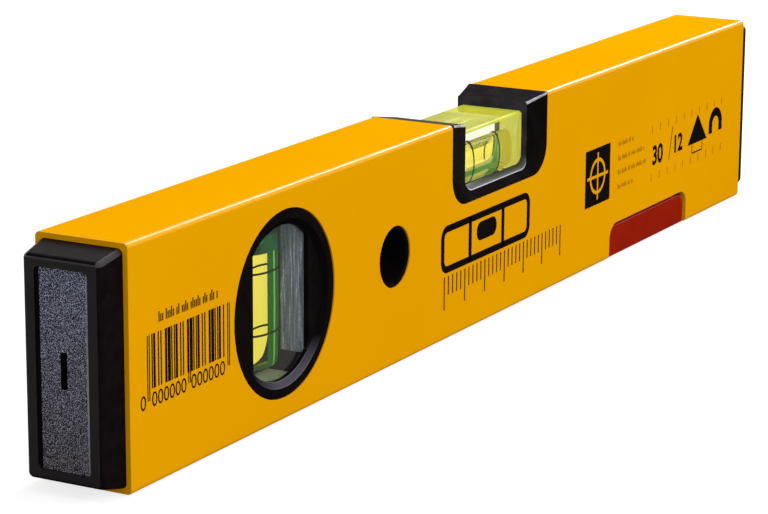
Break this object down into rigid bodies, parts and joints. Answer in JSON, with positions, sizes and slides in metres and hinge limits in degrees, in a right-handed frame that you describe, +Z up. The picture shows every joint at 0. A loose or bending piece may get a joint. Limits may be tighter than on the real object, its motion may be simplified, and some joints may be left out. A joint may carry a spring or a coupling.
{
  "type": "magnetic spirit level",
  "caption": "Short box-section spirit level with a level vial in a top notch, a plumb vial in a round window, a hang hole and a magnet in the measuring face.",
  "frame": {"origin": "middle of the measuring face, on its centre line", "axes": "+X along the level towards the magnet end, +Z up from the measuring face, -Y out of the printed front face"},
  "size_m": [0.3136, 0.021, 0.049],
  "materials": {
    "yellow_coat": "satin powder coat",
    "cap_plastic": "black, grained panel",
    "frame_plastic": "black, moulded gloss",
    "vial_acrylic": "clear acrylic with a yellow-green tint",
    "vial_liquid": "fluorescent yellow-green liquid",
    "ink": "black ink",
    "resin": "grey casting resin",
    "holder_plastic": "red, moulded",
    "magnet_nickel": "nickel plated",
    "yoke_steel": "plain steel"
  },
  "bodies": {
    "root": {"profile": "yellow_coat", "left_end_cap": "cap_plastic", "right_end_cap": "cap_plastic", "level_vial_frame": "frame_plastic", "level_vial_block": "vial_acrylic", "level_vial_plug": "vial_acrylic", "level_vial_liquid": "vial_liquid", "level_left_mark": "ink", "level_right_mark": "ink", "plumb_front_bezel": "frame_plastic", "plumb_rear_bezel": "frame_plastic", "plumb_vial_block": "vial_acrylic", "plumb_vial_plug": "vial_acrylic", "plumb_vial_liquid": "vial_liquid", "plumb_upper_mark": "ink", "plumb_lower_mark": "ink", "plumb_left_resin": "resin", "plumb_right_resin": "resin", "hang_hole_sleeve": "frame_plastic", "magnet_holder": "holder_plastic", "magnet_yoke": "yoke_steel", "left_magnet": "magnet_nickel", "right_magnet": "magnet_nickel"}
  },
  "joints": []
}
